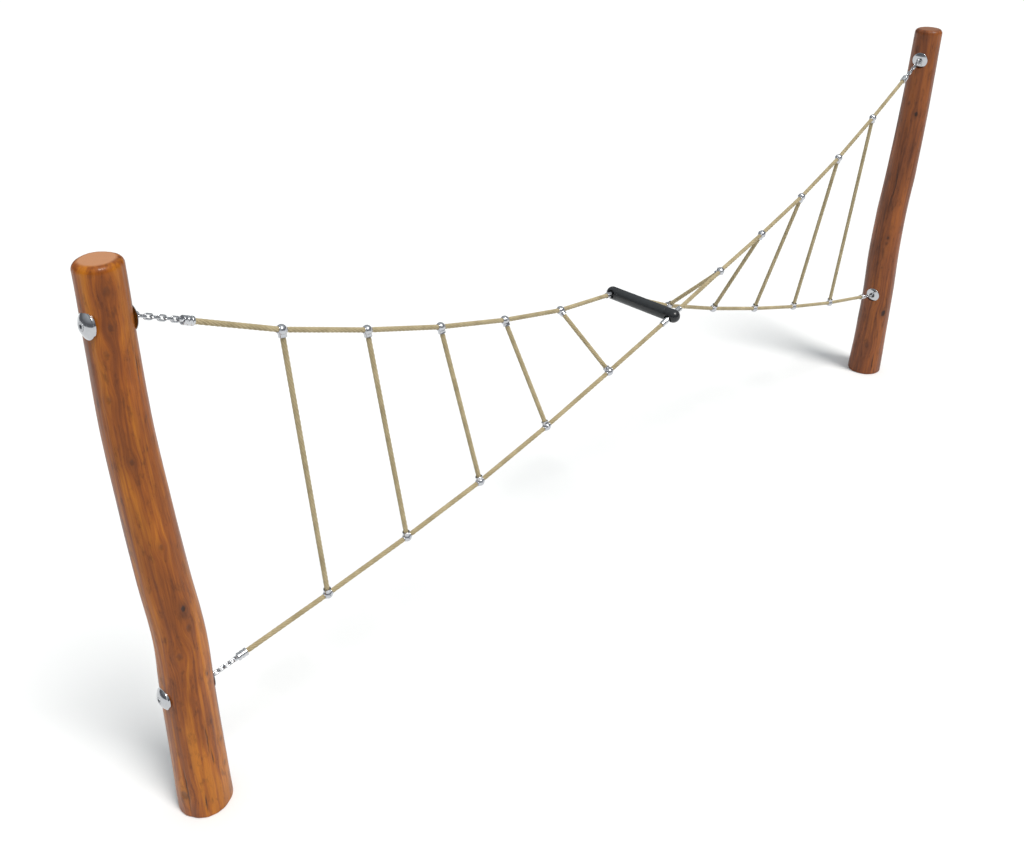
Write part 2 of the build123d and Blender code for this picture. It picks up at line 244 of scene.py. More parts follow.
def rope_look():
    """Laid polyester rope: pale tan strands of fine twisted yarn, with painted shade in the grooves between
    strands.
    """
    made, tree, shader = look("laid_rope", Sheen_Weight=0.15, Sheen_Roughness=0.5, Specular_IOR_Level=0.25)
    lay = node(tree, "Attribute", {"attribute_name": "lay"}).outputs["Vector"]
    split = node(tree, "SeparateXYZ", Vector=lay)
    across, along, depth = split.outputs["X"], split.outputs["Y"], split.outputs["Z"]
    yarn = maths(tree, "ADD", maths(tree, "MULTIPLY", across, 24.0), maths(tree, "MULTIPLY", along, 2600.0))
    yarns = maths(tree, "MULTIPLY", maths(tree, "ADD", maths(tree, "SINE", yarn), 1.0), 0.5)
    place = node(tree, "TexCoord").outputs["Object"]
    soil = clouds(tree, place, 22.0, Detail=4, Roughness=0.6)
    fuzz = clouds(tree, place, 1400.0, Detail=2)
    colour = ramp(tree, soil, (0.32, (0.395, 0.320, 0.180, 1)), (0.66, (0.540, 0.445, 0.265, 1)))
    thread = ramp(tree, yarns, (0.0, grey(0.80)), (0.8, grey(1.06)))
    colour = mix(tree, 0.8, colour, thread, "MULTIPLY")
    speckle = ramp(tree, fuzz, (0.35, grey(0.86)), (0.65, grey(1.08)))
    colour = mix(tree, 0.6, colour, speckle, "MULTIPLY")
    # Painted shade: the grooves between the strands are darkened in the colour, most at the bottom of each
    # groove.
    groove = ramp(tree, depth, (0.0, grey(0.46)), (0.45, grey(1.0)))
    colour = mix(tree, 0.85, colour, groove, "MULTIPLY")
    tree.links.new(colour, shader.inputs["Base Color"])
    roughen(tree, shader, fuzz, 0.66, 0.86)
    fluff = maths(tree, "MULTIPLY", fuzz, 0.6)
    height = maths(tree, "ADD", maths(tree, "MULTIPLY", yarns, 0.7), fluff)
    bump(tree, shader, height, 0.55, 0.0006)
    return made


def coated_look(name, tint, low, high, pebble):
    """A dark plastic coating with a fine grain and faint scuffs."""
    made, tree, shader = look(name, Specular_IOR_Level=0.5)
    place = node(tree, "TexCoord").outputs["Object"]
    scuffs = clouds(tree, place, 60.0, Detail=6, Roughness=0.7)
    grain = node(tree, "TexVoronoi", Vector=place, Scale=pebble)
    colour = ramp(tree, scuffs, (0.35, tint), (0.75, tuple(min(1, c * 1.7) for c in tint)))
    tree.links.new(colour, shader.inputs["Base Color"])
    roughen(tree, shader, scuffs, low, high)
    bump(tree, shader, grain.outputs["Distance"], 0.1, 0.0003)
    return made


WOOD_LEFT = wood_look(
    "stained_robinia",
    LEFT_TRUNK[0][0] * GRAIN_SHIFT,
    (0.190, 0.046, 0.005, 1),
    (0.325, 0.084, 0.006, 1),
    (0.495, 0.157, 0.008, 1),
    (0.560, 0.260, 0.125, 1),
)
WOOD_RIGHT = wood_look(
    "stained_robinia_red",
    RIGHT_TRUNK[0][0] * GRAIN_SHIFT,
    (0.130, 0.036, 0.011, 1),
    (0.225, 0.064, 0.017, 1),
    (0.340, 0.100, 0.019, 1),
    (0.300, 0.125, 0.060, 1),
)
DOME_STEEL = steel_look("polished_dome", (0.47, 0.48, 0.50, 1), 0.06, 0.16, 90.0)
BOLT_STEEL = steel_look("bolt_steel", (0.40, 0.41, 0.43, 1), 0.18, 0.34, 120.0)
CHAIN_STEEL = steel_look("chain_steel", (0.46, 0.47, 0.49, 1), 0.14, 0.28, 140.0)
CLAMP_STEEL = steel_look("cast_clamp", (0.50, 0.51, 0.54, 1), 0.16, 0.28, 160.0)
FERRULE_STEEL = steel_look("pressed_ferrule", (0.55, 0.56, 0.58, 1), 0.14, 0.28, 130.0)
ROPE = rope_look()
STEP_COAT = coated_look("step_coating", (0.014, 0.016, 0.018, 1), 0.26, 0.40, 900.0)
STEP_CAP = coated_look("step_cap", (0.011, 0.012, 0.014, 1), 0.20, 0.34, 1200.0)


# ---- Mesh making ----
def piece(name, verts, faces, finish, body, slot, nodes=(), sharp=32):
    """A piece from its corners and faces, in place. It stands for the CAD nodes named."""
    mesh = bpy.data.meshes.new(name)
    mesh.from_pydata(verts, [], faces)
    return dressed(name, mesh, finish, body, nodes, sharp)


def dressed(name, mesh, finish, body, nodes=(), sharp=32):
    """A piece from a mesh: one finish, smooth but for edges sharper than the angle given."""
    mesh.materials.clear()
    mesh.materials.append(finish)
    mesh.polygons.foreach_set("use_smooth", [True] * len(mesh.polygons))
    mesh.set_sharp_from_angle(angle=radians(sharp))
    made = bpy.data.objects.new(name, mesh)
    bpy.context.collection.objects.link(made)
    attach(made, body)
    if nodes:
        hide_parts(*nodes)
    return made


def axes(direction):
    """Two unit vectors square to a direction."""
    first = direction.orthogonal().normalized()
    return first, direction.cross(first).normalized()


def loops_to_faces(loops, count, closed=False):
    """Faces between rings of points that follow each other."""
    faces = []
    last = len(loops) if closed else len(loops) - 1
    for i in range(last):
        a = loops[i]
        b = loops[(i + 1) % len(loops)]
        for k in range(count):
            n = (k + 1) % count
            faces.append((a + k, a + n, b + n, b + k))
    return faces


def lathe(origin, direction, profile, count=64):
    """A turned shape. The profile is (distance along, radius) from end to end; radius 0 closes it."""
    first, second = axes(direction)
    verts = []
    faces = []
    loops = []
    for along, radius in profile:
        centre = origin + direction * along
        if radius == 0:
            verts.append(centre)
            loops.append((len(verts) - 1, 1))
            continue
        loops.append((len(verts), count))
        for k in range(count):
            turn = 2 * pi * k / count
            verts.append(centre + (first * cos(turn) + second * sin(turn)) * radius)
    for (a, size_a), (b, size_b) in zip(loops, loops[1:]):
        for k in range(count):
            n = (k + 1) % count
            if size_a == 1:
                faces.append((a, b + n, b + k))
            elif size_b == 1:
                faces.append((a + k, a + n, b))
            else:
                faces.append((a + k, a + n, b + n, b + k))
    return verts, faces


def ring_lathe(origin, direction, profile, count=64):
    """A turned ring: the profile is a closed loop."""
    verts, faces = lathe(origin, direction, profile, count)
    last = (len(profile) - 1) * count
    for k in range(count):
        n = (k + 1) % count
        faces.append((last + k, last + n, n, k))
    return verts, faces


def joined(*parts):
    """Several (verts, faces) as one."""
    verts = []
    faces = []
    for some_verts, some_faces in parts:
        base = len(verts)
        verts.extend(some_verts)
        faces.extend(tuple(base + i for i in face) for face in some_faces)
    return verts, faces


def fillet_profile(profile, radius, steps=4):
    """The same profile with each corner rounded."""
    made = [profile[0]]
    for before, at, after in zip(profile, profile[1:], profile[2:]):
        p, q, r = (Vector(v) for v in (before, at, after))
        reach = min(radius, (p - q).length / 2.2, (r - q).length / 2.2)
        start = q + (p - q).normalized() * reach
        end = q + (r - q).normalized() * reach
        for i in range(steps + 1):
            t = i / steps
            point = start * (1 - t) ** 2 + q * 2 * t * (1 - t) + end * t**2
            made.append((point.x, point.y))
    made.append(profile[-1])
    return made


def tube(points, radius, count=14, closed=False):
    """A round wire along points."""
    size = len(points)
    tangents = []
    for i in range(size):
        if closed:
            tangents.append((points[(i + 1) % size] - points[i - 1]).normalized())
        else:
            tangents.append((points[min(i + 1, size - 1)] - points[max(i - 1, 0)]).normalized())
    side = axes(tangents[0])[0]
    verts = []
    loops = []
    for i, (point, tangent) in enumerate(zip(points, tangents)):
        side = (side - tangent * side.dot(tangent)).normalized()
        up = tangent.cross(side)
        loops.append(len(verts))
        wide = radius(i / size) if callable(radius) else radius
        for k in range(count):
            turn = 2 * pi * k / count
            verts.append(point + (side * cos(turn) + up * sin(turn)) * wide)
    faces = loops_to_faces(loops, count, closed)
    if not closed:
        faces.append(tuple(reversed(range(count))))
        faces.append(tuple(range(loops[-1], loops[-1] + count)))
    return verts, faces


# ---- Post surfaces ----
# Knots: (angle round the log in degrees, height, size, darkness).
LEFT_KNOTS = [
    (-88, 0.940, 0.0085, 1.0),
    (-88, 0.859, 0.0100, 0.45),
    (-61, 0.630, 0.0050, 0.8),
    (-49, 0.309, 0.0080, 0.5),
    (-51, 0.193, 0.0090, 0.5),
    (-158, 0.113, 0.0150, 0.6),
    (-120, 0.757, 0.0120, 0.35),
    (-105, 2.018, 0.0100, 0.4),
    (-109, 1.916, 0.0080, 0.5),
    (-127, 1.841, 0.0090, 0.35),
    (-139, 1.702, 0.0080, 0.4),
    (-116, 1.500, 0.0070, 0.6),
    (-100, 1.190, 0.0080, 0.35),
    (25, 1.480, 0.0120, 0.9),
    (70, 1.150, 0.0150, 0.8),
    (120, 1.700, 0.0090, 0.9),
    (150, 0.620, 0.0140, 0.7),
    (40, 0.400, 0.0130, 0.9),
    (100, 0.180, 0.0120, 0.6),
]
RIGHT_KNOTS = [
    (-145, 1.621, 0.0090, 1.0),
    (167, 1.956, 0.0130, 0.45),
    (176, 1.675, 0.0090, 0.4),
    (-120, 0.426, 0.0140, 1.0),
    (-150, 0.905, 0.0070, 0.8),
    (-152, 0.870, 0.0080, 0.5),
    (-160, 0.200, 0.0120, 0.5),
    (-60, 1.250, 0.0130, 0.9),
    (-20, 0.700, 0.0150, 0.8),
    (35, 1.600, 0.0100, 0.9),
    (90, 1.050, 0.0140, 0.8),
    (110, 0.350, 0.0120, 0.9),
]
# Drying checks: (angle in degrees, lowest, highest, width, depth).
LEFT_CHECKS = [
    (-90, 0.290, 0.440, 0.0016, 0.0030),
    (-84, 0.230, 0.330, 0.0014, 0.0022),
    (-60, 1.720, 1.830, 0.0013, 0.0018),
    (-150, 0.020, 0.260, 0.0018, 0.0030),
    (-112, 0.020, 0.130, 0.0014, 0.0024),
    (20, 0.050, 0.700, 0.0026, 0.0060),
    (95, 0.900, 1.600, 0.0022, 0.0050),
    (160, 0.300, 0.900, 0.0020, 0.0045),
    (60, 1.500, 1.980, 0.0018, 0.0040),
]
RIGHT_CHECKS = [
    (-128, 0.020, 0.150, 0.0014, 0.0025),
    (-170, 1.050, 1.350, 0.0014, 0.0022),
    (-40, 0.100, 0.800, 0.0024, 0.0055),
    (60, 0.500, 1.200, 0.0022, 0.0050),
    (130, 1.100, 1.750, 0.0020, 0.0045),
    (10, 1.400, 1.900, 0.0018, 0.0040),
]
KNOT_REACH = 9
AROUND = 168
RING_STEP = 0.005
FLUTE_DEPTH = 0.0030
FACET_DEPTH = 0.0011
PORE_DEPTH = 0.0004
TOP_ROUNDING = 0.022
FOOT_ROUNDING = 0.006
CAP_RINGS = (0.96, 0.88, 0.76, 0.62, 0.46, 0.3, 0.14)


def trunk_at(trunk, height, z):
    """Centre x, centre y and radius of a crooked log, smooth through its sections."""
    spans = len(trunk) - 1
    place = min(max(z / height * spans, 0), spans - 1e-6)
    span = int(place)
    part = place - span
    padded = [trunk[0], *trunk, trunk[-1]]
    made = []
    for before, low, high, after in zip(*padded[span : span + 4]):
        rise = (high - before) / 2
        fall = (after - low) / 2
        bend = 3 * (high - low) - 2 * rise - fall
        twist = 2 * (low - high) + rise + fall
        made.append(low + rise * part + bend * part**2 + twist * part**3)
    return made


def bell(distance, width):
    """1 at no distance, falling off smoothly over the width."""
    return exp(-((distance / width) ** 2) / 2)


def wood_marks(turn, z, radius, knots, checks):
    """At a place on a log: how far it stands out, how the grain is pushed aside, knot darkness and the
    painted shade of a check.
    """
    proud = 0.0
    push = 0.0
    knot_mark = 0.0
    check_shade = 0.0
    for angle, height, size, darkness in knots:
        rise = z - height
        if abs(rise) > size * KNOT_REACH:
            continue
        arc = ((turn - radians(angle) + pi) % (2 * pi) - pi) * radius
        if abs(arc) > size * KNOT_REACH:
            continue
        ripple = noise.noise(Vector((arc * 160, rise * 160, angle))) * size * 0.28
        distance = hypot(arc, rise * 0.62) + ripple
        proud += 0.0016 * bell(distance, size * 1.7) * (size / 0.012) - 0.0022 * bell(distance, size * 0.45)
        push -= arc * 0.85 * bell(distance, size * 1.9)
        heart = max(0.0, 1 - distance / (size * 1.15))
        knot_mark = max(knot_mark, darkness * min(1.0, heart * 2.6))
        knot_mark = max(knot_mark, 0.42 * darkness * bell(distance, size * 1.25))
    for angle, low, high, width, depth in checks:
        if not low < z < high:
            continue
        taper = sin(pi * (z - low) / (high - low)) ** 0.5
        wander = noise.noise(Vector((angle, z * 7.0, 3.1))) * 0.010
        wander += noise.noise(Vector((angle, z * 40.0, 7.7))) * 0.0015
        arc = ((turn - radians(angle) + pi) % (2 * pi) - pi) * radius - wander
        groove = bell(arc, width * (0.35 + 0.65 * taper))
        proud -= depth * taper * groove
        # The check's painted shade, strongest along the middle of the crack.
        check_shade = max(check_shade, groove * taper)
    return proud, push, knot_mark, check_shade


def post(name, height, trunk, knots, checks, finish):
    """A crooked log with its knots, checks, shallow flutes, worn top edge and rounded foot."""
    rings = [(0.0, -1.0, share) for share in reversed(CAP_RINGS)]
    for i in range(6):
        turn = i / 5 * pi / 2
        inset = FOOT_ROUNDING * (1 - sin(turn))
        rings.append((FOOT_ROUNDING * (1 - cos(turn)), inset, 1.0))
    body_rings = int((height - TOP_ROUNDING - FOOT_ROUNDING) / RING_STEP)
    for i in range(1, body_rings):
        rings.append((FOOT_ROUNDING + (height - TOP_ROUNDING - FOOT_ROUNDING) * i / body_rings, 0.0, 1.0))
    for i in range(9):
        turn = i / 8 * pi / 2
        rings.append((height - TOP_ROUNDING * (1 - sin(turn)), TOP_ROUNDING * (1 - cos(turn)), 1.0))
    rings += [(height, -1.0, share) for share in CAP_RINGS]
    verts = []
    grain = []
    marks = []
    loops = []
    seed = trunk[0][0] * GRAIN_SHIFT
    for z, inset, share in rings:
        x, y, radius = trunk_at(trunk, height, z)
        loops.append(len(verts))
        top = z > height / 2
        for k in range(AROUND):
            turn = 2 * pi * k / AROUND
            level = Vector((cos(turn), sin(turn), 0))
            flutes = noise.noise(Vector((level.x * 1.5, level.y * 1.5, z * 1.7 + seed))) * FLUTE_DEPTH
            facets = noise.noise(Vector((level.x * 5, level.y * 5, z * 3.2 + seed))) * FACET_DEPTH
            pores = noise.noise(Vector((level.x * 17, level.y * 17, z * 7 + seed))) * PORE_DEPTH
            proud, push, knot_mark, check_shade = wood_marks(turn, z, radius, knots, checks)
            out = radius + flutes + facets + pores + proud
            end_mark = 0.0
            lift = 0.0
            if inset < 0:
                rounding = TOP_ROUNDING if top else FOOT_ROUNDING
                out = (out - rounding) * share
                knot_mark = 0.0
                check_shade = 0.0
                end_mark = 1.0
                if top:
                    lift = noise.noise(Vector((out * level.x * 60, out * level.y * 60, seed))) * 0.0006
            else:
                out -= inset
                if z > height - TOP_ROUNDING:
                    end_mark = max(0.0, inset / TOP_ROUNDING - 0.6) / 0.4
                    knot_mark *= 1 - end_mark
            spot = Vector((x, y, 0)) + level * out
            verts.append((spot.x, spot.y, z + lift))
            shifted = turn + push / radius
            grain.append((cos(shifted) * out + seed, sin(shifted) * out, z))
            marks.append((knot_mark, check_shade, end_mark))
    faces = loops_to_faces(loops, AROUND)
    for z, loop, order in ((0.0, loops[0], -1), (height, loops[-1], 1)):
        x, y, radius = trunk_at(trunk, height, z)
        verts.append((x, y, z))
        grain.append((seed, 0, z))
        marks.append((0, 0, 1))
        for k in range(AROUND):
            corner = (loop + k, loop + (k + 1) % AROUND, len(verts) - 1)
            faces.append(corner[::order])
    made = piece(name, verts, faces, finish, "posts", "stained_wood", [name.replace("_log", "_post")], 50)
    write_vectors(made.data, "grain", grain)
    write_vectors(made.data, "marks", marks)
    return made


def write_vectors(mesh, name, values):
    """Stores a vector on each corner point, for the material to read."""
    layer = mesh.attributes.new(name, "FLOAT_VECTOR", "POINT")
    layer.data.foreach_set("vector", [number for value in values for number in value])


left_log = post("left_log", LEFT_POST_HEIGHT, LEFT_TRUNK, LEFT_KNOTS, LEFT_CHECKS, WOOD_LEFT)
right_log = post("right_log", RIGHT_POST_HEIGHT, RIGHT_TRUNK, RIGHT_KNOTS, RIGHT_CHECKS, WOOD_RIGHT)

# ---- Ropes ----
ROPE_RADIUS = 0.0095
STRANDS = 6
STRAND_SAMPLES = 6
LAY_LENGTH = 0.118
ROPE_STEP = 0.0034
BEND_HALF = 0.016
GROOVE_DEPTH = 0.17


def rope_centres(points):
    """Evenly spaced places along taut straight runs, eased round where a clamp turns the rope."""
    lengths = [0.0]
    for before, after in zip(points, points[1:]):
        lengths.append(lengths[-1] + (after - before).length)

    def along(distance):
        distance = min(max(distance, 0.0), lengths[-1])
        for i in range(len(points) - 1):
            if distance <= lengths[i + 1]:
                part = (distance - lengths[i]) / (lengths[i + 1] - lengths[i])
                return points[i].lerp(points[i + 1], part)
        return points[-1].copy()

    count = int(lengths[-1] / ROPE_STEP)
    made = []
    for i in range(count + 1):
        distance = lengths[-1] * i / count
        reach = min(BEND_HALF, distance, lengths[-1] - distance)
        spread = [along(distance + reach * k / 3) for k in range(-3, 4)]
        made.append(sum(spread, Vector()) / len(spread))
    return made


def strand_radius(phase):
    """The rope's outline in one strand's share of the turn. 0 to 1 across the strand."""
    half = pi / STRANDS
    angle = (phase - 0.5) * 2 * half
    small = ROPE_RADIUS * sin(half) / (1 + sin(half))
    middle = ROPE_RADIUS - small
    reach = middle * cos(angle) + sqrt(max(small**2 - (middle * sin(angle)) ** 2, 0.0))
    return ROPE_RADIUS - (ROPE_RADIUS - reach) * (1 - GROOVE_DEPTH) ** 2


def laid_rope(name, points, body, nodes, twist=1):
    """A rope of six strands laid round each other."""
    centres = rope_centres(points)
    count = STRANDS * STRAND_SAMPLES
    outline = [strand_radius((k % STRAND_SAMPLES) / STRAND_SAMPLES) for k in range(count)]
    lowest = min(outline)
    side = axes((centres[1] - centres[0]).normalized())[0]
    verts = []
    lay = []
    loops = []
    travelled = 0.0
    for i, centre in enumerate(centres):
        ahead = centres[min(i + 1, len(centres) - 1)]
        behind = centres[max(i - 1, 0)]
        tangent = (ahead - behind).normalized()
        side = (side - tangent * side.dot(tangent)).normalized()
        up = tangent.cross(side)
        if i:
            travelled += (centre - behind).length
        spin = twist * 2 * pi * travelled / LAY_LENGTH
        loops.append(len(verts))
        for k in range(count):
            turn = 2 * pi * k / count + spin
            verts.append(centre + (side * cos(turn) + up * sin(turn)) * outline[k])
            across = (k % STRAND_SAMPLES) / STRAND_SAMPLES
            # How far down a groove each point lies, which drives the painted groove shade.
            depth = (outline[k] - lowest) / (ROPE_RADIUS - lowest)
            lay.append((abs(across - 0.5) * 2, travelled, depth))
    faces = loops_to_faces(loops, count)
    faces.append(tuple(reversed(range(count))))
    faces.append(tuple(range(loops[-1], loops[-1] + count)))
    made = piece(name, verts, faces, ROPE, body, "rope", nodes, sharp=180)
    write_vectors(made.data, "lay", lay)
    return made


# ---- Hardware: the CAD's sizes, but for a wider collar bore, and details that the CAD leaves out ----
TOP_LINKS = 6
BOTTOM_LINKS = 4
LINK_PITCH = 0.0215
WIRE_RADIUS = 0.003
LINK_HALF_WIDTH = 0.0075
LINK_STRAIGHT = 0.0128
LUG_LENGTH = 0.011
LUG_TIP = 0.006
LUG_HALF_WIDTH = 0.010
LUG_HALF_THICKNESS = 0.0035
LUG_HOLE_RADIUS = 0.005
LUG_HOLE_PLACE = 0.0032
END_FERRULE_RADIUS = 0.015
END_FERRULE_LENGTH = 0.038
END_FERRULE_FLOOR = 0.0051
BALL_RADIUS = 0.018
COLLAR_RADIUS = 0.014
COLLAR_REACH = 0.024
COLLAR_BORE = 0.0127
COLLAR_FLOOR = 0.0098
IN_WALL = 0.0005
BALL_STEPS = 18
BALL_SHARE = 0.72
SEAM_INNER_SHARE = 0.72
SEAM_CLEAR = 0.008
SEAM_DEPTH = 0.0007
SEAM_WIDTH = 0.0005
RUNG_TOP_GAP = 0.015
RUNG_BOTTOM_GAP = 0.018
STEP_FERRULE_RADIUS = 0.013
STEP_FERRULE_START = 0.014
STEP_FERRULE_END = 0.065


def turned(points):
    """The same points on the net's other half."""
    return [HALF_TURN @ point for point in points]


def chain_link(contact, along, upright):
    """One short welded link of round wire, hanging on its contact point."""
    sideways = along.cross(UP).normalized()
    across = along.cross(sideways).normalized() if upright else sideways
    centre = contact + along * (LINK_PITCH / 2)
    path = []
    for end in (1, -1):
        for k in range(17):
            turn = -pi / 2 + pi * k / 16
            offset = along * (LINK_STRAIGHT / 2 + LINK_HALF_WIDTH * cos(turn))
            offset += across * LINK_HALF_WIDTH * sin(turn)
            path.append(centre + offset * end)
        start = path[-1]
        for k in range(1, 6):
            path.append(start - along * end * LINK_STRAIGHT * k / 6)

    def wire(share):
        return WIRE_RADIUS * (1 + 0.09 * bell(share - 0.445, 0.022))

    return tube(path, wire, 16, True)


def end_ferrule(name, contact, along, body, node_name):
    """A pressed sleeve with press marks and a flat drilled lug."""
    face = contact + along * LUG_LENGTH
    radius = END_FERRULE_RADIUS
    length = END_FERRULE_LENGTH
    bore = ROPE_RADIUS + 0.0001
    outer = [(0.0, 0.006), (0.0, radius * 0.93), (0.0012, radius)]
    for middle in (0.012, 0.026):
        outer += [
            (middle - 0.0034, radius),
            (middle - 0.0022, radius - 0.0011),
            (middle + 0.0022, radius - 0.0011),
            (middle + 0.0034, radius),
        ]
    outer += [(length - 0.0014, radius), (length, radius * 0.90), (length, bore + 0.0012)]
    outer += [(length - 0.0016, bore), (END_FERRULE_FLOOR, bore), (END_FERRULE_FLOOR, 0)]
    sleeve = lathe(face, along, [(0.0, 0)] + fillet_profile(outer, 0.0008, 3), 72)
    sideways = along.cross(UP).normalized()
    upward = sideways.cross(along).normalized()
    hole_centre = contact + along * LUG_HOLE_PLACE
    lug = lug_plate(hole_centre, along, sideways, upward)
    verts, faces = joined(sleeve, lug)
    return piece(name, verts, faces, FERRULE_STEEL, body, "clamp_steel", [node_name], sharp=34)


def lug_plate(centre, along, sideways, upward):
    """A flat tongue with a rounded tip and a round hole, its edges eased."""
    outline = []
    tip = -(LUG_TIP + LUG_HOLE_PLACE)
    root = LUG_LENGTH - LUG_HOLE_PLACE + 0.002
    corner = 0.007
    count = 48
    for k in range(count):
        turn = 2 * pi * k / count
        ray = Vector((cos(turn), sin(turn)))
        reach = min(
            (root / ray.x) if ray.x > 1e-6 else 1.0,
            (tip / ray.x) if ray.x < -1e-6 else 1.0,
            LUG_HALF_WIDTH / max(abs(ray.y), 1e-6),
        )
        spot = ray * reach
        centre_x = tip + corner
        centre_y = LUG_HALF_WIDTH - corner
        if spot.x < centre_x and abs(spot.y) > centre_y:
            pivot = Vector((centre_x, centre_y if spot.y > 0 else -centre_y))
            along_ray = ray * pivot.dot(ray)
            gap = (pivot - along_ray).length
            spot = along_ray + ray * sqrt(max(corner**2 - gap**2, 0.0))
        outline.append(spot)
    ease = 0.0007
    half = LUG_HALF_THICKNESS
    levels = [
        (half, 1, 0.0012, 1),
        (half - ease, 0, 0.0, 1),
        (-half + ease, 0, 0.0, 1),
        (-half, 1, 0.0012, 1),
        (-half, 1, 0.0006, 0),
        (-half + ease, 0, 0.0, 0),
        (half - ease, 0, 0.0, 0),
        (half, 1, 0.0006, 0),
    ]
    verts = []
    loops = []
    for height, eased, step, outside in levels:
        loops.append(len(verts))
        for k in range(count):
            turn = 2 * pi * k / count
            ray = Vector((cos(turn), sin(turn)))
            if outside:
                spot = outline[k] - outline[k].normalized() * (ease if eased else 0)
            else:
                spot = ray * (LUG_HOLE_RADIUS + (ease if eased else 0))
            verts.append(centre + along * spot.x + sideways * spot.y + upward * height)
    return verts, loops_to_faces(loops, count, True)


def step_ferrule(name, crossing, outward, body, node_name):
    """The polished sleeve that a rope wears where it goes into the step."""
    start = STEP_FERRULE_START
    end = STEP_FERRULE_END
    bore = ROPE_RADIUS + 0.0001
    radius = STEP_FERRULE_RADIUS
    profile = [
        (start, bore),
        (start, radius),
        (end - 0.010, radius),
        (end - 0.009, radius - 0.0006),
        (end - 0.006, radius - 0.0006),
        (end - 0.005, radius),
        (end, radius),
        (end, bore + 0.0008),
        (end - 0.001, bore),
        (start, bore),
    ]
    verts, faces = lathe(crossing, outward, fillet_profile(profile, 0.0011, 3), 72)
    return piece(name, verts, faces, FERRULE_STEEL, body, "clamp_steel", [node_name], sharp=34)


def clear_of_rung(spot, knot, rung_way):
    """Moves a point that lies in a collar's bore out into the collar's wall."""
    along = (spot - knot).dot(rung_way)
    axis_point = knot + rung_way * along
    side = spot - axis_point
    if along < COLLAR_FLOOR or side.length > COLLAR_BORE + IN_WALL:
        return spot
    return axis_point + side.normalized() * (COLLAR_BORE + IN_WALL)


def clamp(name, knot, rung_way, rope_way, body, nodes):
    """A cast clamp: a ball round the rope, lips where the rope goes in, a collar for the rung,
    a closing seam and two rivets.
    """
    collar_profile = []
    blend_start = 0.0112
    for k in range(BALL_STEPS + 1):
        turn = pi * k / BALL_STEPS * BALL_SHARE
        collar_profile.append((-BALL_RADIUS * cos(turn), BALL_RADIUS * sin(turn)))
    neck = sqrt(BALL_RADIUS**2 - blend_start**2)
    collar_profile = [spot for spot in collar_profile if spot[0] < blend_start * 0.9]
    collar_profile += [
        (blend_start, neck - 0.0001),
        (blend_start + 0.0024, COLLAR_RADIUS + 0.0004),
        (blend_start + 0.0048, COLLAR_RADIUS),
        (COLLAR_REACH - 0.0030, COLLAR_RADIUS),
        (COLLAR_REACH - 0.0010, COLLAR_RADIUS + 0.0005),
        (COLLAR_REACH, COLLAR_RADIUS - 0.0004),
        (COLLAR_REACH, COLLAR_BORE + 0.0005),
        (COLLAR_REACH - 0.0008, COLLAR_BORE),
        (COLLAR_FLOOR + 0.0002, COLLAR_BORE),
        (COLLAR_FLOOR, 0),
    ]
    verts, faces = lathe(knot, rung_way, collar_profile, 72)
    seam_way = rope_way.cross(rung_way).normalized()
    shaped = []
    for spot in verts:
        offset = spot - knot
        height = offset.dot(seam_way)
        out = offset - seam_way * height
        far = out.length
        if offset.length > BALL_RADIUS * SEAM_INNER_SHARE and far > SEAM_CLEAR:
            groove = SEAM_DEPTH * bell(height, SEAM_WIDTH)
            spot = spot - out.normalized() * groove
        shaped.append(spot)
    parts = [(shaped, faces)]
    for end in (1, -1):
        lip = rope_way * end
        profile = [
            (0.0135, ROPE_RADIUS + 0.0002),
            (0.0135, ROPE_RADIUS + 0.0026),
            (0.0158, ROPE_RADIUS + 0.0022),
            (0.0166, ROPE_RADIUS + 0.0012),
            (0.0163, ROPE_RADIUS + 0.0002),
        ]
        ring, ring_faces = ring_lathe(knot, lip, fillet_profile(profile, 0.0006, 2), 48)
        parts.append(([clear_of_rung(spot, knot, rung_way) for spot in ring], ring_faces))
        rivet_profile = [(0.0168, 0.0), (0.0168, 0.0036), (0.0182, 0.0036), (0.0191, 0.0022), (0.0194, 0)]
        parts.append(lathe(knot, seam_way * end, rivet_profile, 24))
    verts, faces = joined(*parts)
    return piece(name, verts, faces, CLAMP_STEEL, body, "clamp_steel", nodes, sharp=34)


halves = {
    "upper": (TOP_ANCHOR, UPPER_KNOTS, FAR_CROSSING, TOP_LINKS, LOWER_KNOTS),
    "lower": (BOTTOM_ANCHOR, LOWER_KNOTS, NEAR_CROSSING, BOTTOM_LINKS, UPPER_KNOTS),
}
for level, (anchor, knots, crossing, links, partners) in halves.items():
    for side, move in (("left", list), ("right", turned)):
        prefix = level + "_" + side + "_"
        body = level + "_" + side + "_rope"
        start, *turned_knots = move([anchor, *knots])
        cross = move([crossing])[0]
        others = move(partners)
        along = (turned_knots[0] - start).normalized()
        contact = start + along * LINK_PITCH * links
        rope_start = contact + along * (LUG_LENGTH + END_FERRULE_FLOOR)
        into_step = (cross - turned_knots[-1]).normalized()
        line = [rope_start, *turned_knots, cross - into_step * (STEP_FERRULE_START + 0.0005)]
        laid_rope(prefix + "laid_rope", line, body, [prefix + "rope"])
        end_ferrule(prefix + "pressed_end", contact, along, body, prefix + "end_ferrule")
        step_ferrule(prefix + "step_sleeve", cross, into_step * -1, body, prefix + "step_ferrule")
        first = chain_link(start, along, False)
        swing = side + "_swing_links"
        piece(prefix + "first_link", *first, CHAIN_STEEL, swing, "chain_steel", [prefix + "swing_link"], 60)
        for number in range(1, links):
            link = chain_link(start + along * LINK_PITCH * number, along, number % 2 == 1)
            nodes = [prefix + "chain"] if number == 1 else []
            piece(prefix + "link_" + str(number), *link, CHAIN_STEEL, body, "chain_steel", nodes, 60)
        for number, (knot, partner) in enumerate(zip(turned_knots, others)):
            rung_way = (partner - knot).normalized()
            bend = line[number + 2] - line[number]
            rope_way = bend.normalized()
            nodes = [prefix + "clamp_fronts", prefix + "clamp_backs"] if number == 0 else []
            clamp(prefix + "clamp_" + str(number + 1), knot, rung_way, rope_way, body, nodes)

